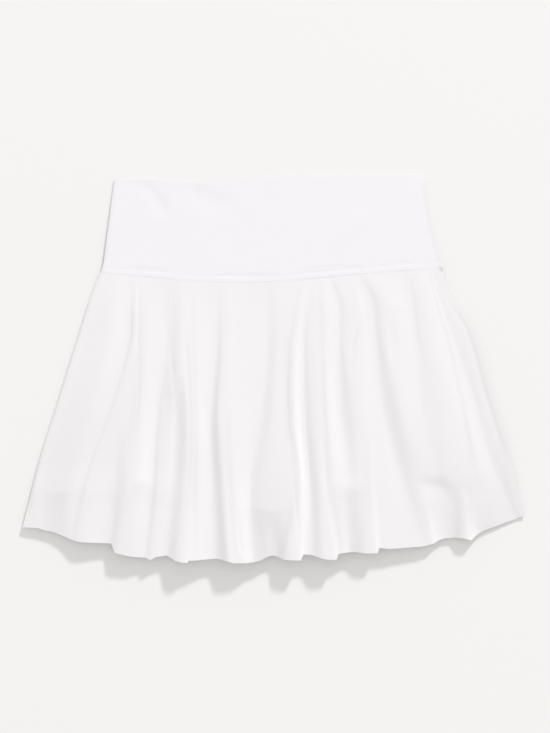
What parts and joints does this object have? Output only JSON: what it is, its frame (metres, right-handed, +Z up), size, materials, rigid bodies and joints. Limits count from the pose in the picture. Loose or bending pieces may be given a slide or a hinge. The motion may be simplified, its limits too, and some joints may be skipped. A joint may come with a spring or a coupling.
{
  "type": "skort, laid flat",
  "caption": "Skort laid flat on its back: wide plain waistband, short flared skirt falling in soft flutes, and light inner shorts between its panels.",
  "frame": {"origin": "centre of the garment's outline, on the surface that it lies on", "axes": "+X across the garment to the right as it is seen from above, +Y towards the waist, +Z up from the surface"},
  "size_m": [0.5119, 0.3932, 0.0166],
  "materials": {
    "waistband_knit": "smooth compact knit, matt, white",
    "skirt_knit": "light smooth knit with a soft sheen, white",
    "shorts_knit": "light smooth knit, matt, white"
  },
  "bodies": {
    "root": {"waistband_front": "waistband_knit", "waistband_back": "waistband_knit", "skirt_front": "skirt_knit", "skirt_back": "skirt_knit", "shorts_front_left": "shorts_knit", "shorts_front_right": "shorts_knit", "shorts_back_left": "shorts_knit", "shorts_back_right": "shorts_knit"}
  },
  "joints": []
}
